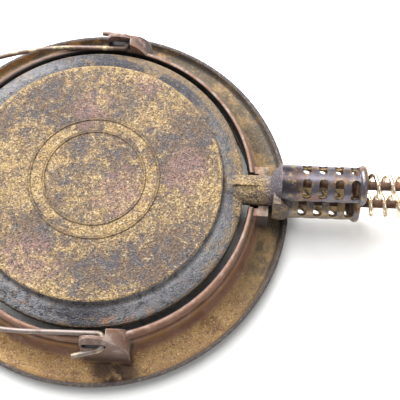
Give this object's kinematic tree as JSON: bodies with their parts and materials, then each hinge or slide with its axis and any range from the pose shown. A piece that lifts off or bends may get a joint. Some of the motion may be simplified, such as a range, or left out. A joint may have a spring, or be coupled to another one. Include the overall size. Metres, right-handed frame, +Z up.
{
  "type": "stovetop waffle iron",
  "caption": "Stovetop waffle iron: low cast ring base with a wire bail, round hinged paddles that turn over in it, and perforated ferrules with coil grips.",
  "frame": {"origin": "middle of the foot ring, on the face that stands on the stove", "axes": "+X from the middle towards the handles, +Z up, +Y to the far side"},
  "size_m": [0.434, 0.252, 0.062],
  "materials": {
    "base_iron": "seasoned cast iron with a brown rust bloom",
    "lower_iron": "seasoned cast iron, ochre rust speckle",
    "upper_iron": "seasoned cast iron, ochre rust speckle",
    "ferrule_steel": "tarnished steel with brown patches",
    "rod_steel": "rusted steel",
    "coil_plate": "bright plated spring wire",
    "bail_steel": "tarnished drawn wire"
  },
  "bodies": {
    "base": {"base_ring": "base_iron"},
    "bail": {"bail": "bail_steel"},
    "lower": {"lower_paddle": "lower_iron", "hinge_pin": "rod_steel", "lower_ferrule": "ferrule_steel", "lower_rod": "rod_steel", "lower_mouth_washer": "rod_steel", "lower_lock_nut": "rod_steel", "lower_coil_grip": "coil_plate", "lower_end_washer": "rod_steel", "lower_cap_nut": "rod_steel"},
    "upper": {"upper_paddle": "upper_iron", "upper_ferrule": "ferrule_steel", "upper_rod": "rod_steel", "upper_mouth_washer": "rod_steel", "upper_lock_nut": "rod_steel", "upper_coil_grip": "coil_plate", "upper_end_washer": "rod_steel", "upper_cap_nut": "rod_steel"}
  },
  "joints": [
    {"name": "bail_swing", "type": "hinge", "parent": "base", "child": "bail", "pos_m": [0.0132, 0, 0.0398], "axis": [0, 1, 0], "range_deg": [0, 90]},
    {"name": "turn", "type": "hinge", "parent": "base", "child": "lower", "pos_m": [0, 0, 0.035], "axis": [1, 0, 0], "range_deg": [-180, 180]},
    {"name": "open", "type": "hinge", "parent": "lower", "child": "upper", "pos_m": [-0.108, 0, 0.035], "axis": [0, -1, 0], "range_deg": [0, 170]}
  ]
}
